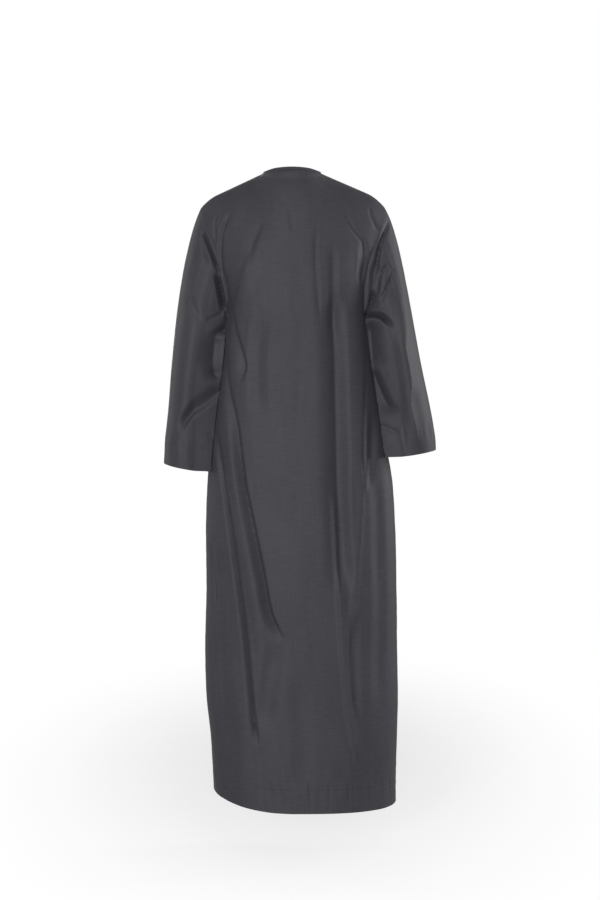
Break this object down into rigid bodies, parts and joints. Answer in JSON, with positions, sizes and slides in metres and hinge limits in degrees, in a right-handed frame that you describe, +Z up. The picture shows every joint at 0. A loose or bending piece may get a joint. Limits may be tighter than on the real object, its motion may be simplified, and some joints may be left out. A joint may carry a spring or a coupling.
{
  "type": "thobe robe",
  "caption": "Long collarless thobe robe in charcoal cloth, hanging as worn, with straight sleeves and wide side gores.",
  "frame": {"origin": "midway between the two side neck points, where the wearer's shoulders carry the robe", "axes": "+Z up along the hanging cloth, -Y towards the front with the placket, +X towards the wearer's left sleeve"},
  "size_m": [0.6227, 0.2741, 1.4547],
  "materials": {
    "robe_cloth": "plain weave with a soft sheen",
    "button": "satin"
  },
  "bodies": {
    "root": {"back": "robe_cloth", "front": "robe_cloth", "gore_left_back": "robe_cloth", "gore_left_front": "robe_cloth", "gore_right_back": "robe_cloth", "gore_right_front": "robe_cloth", "sleeve_left": "robe_cloth", "sleeve_right": "robe_cloth", "neck_band": "robe_cloth", "placket": "robe_cloth", "button_1": "button", "button_2": "button", "button_3": "button", "button_4": "button"}
  },
  "joints": []
}
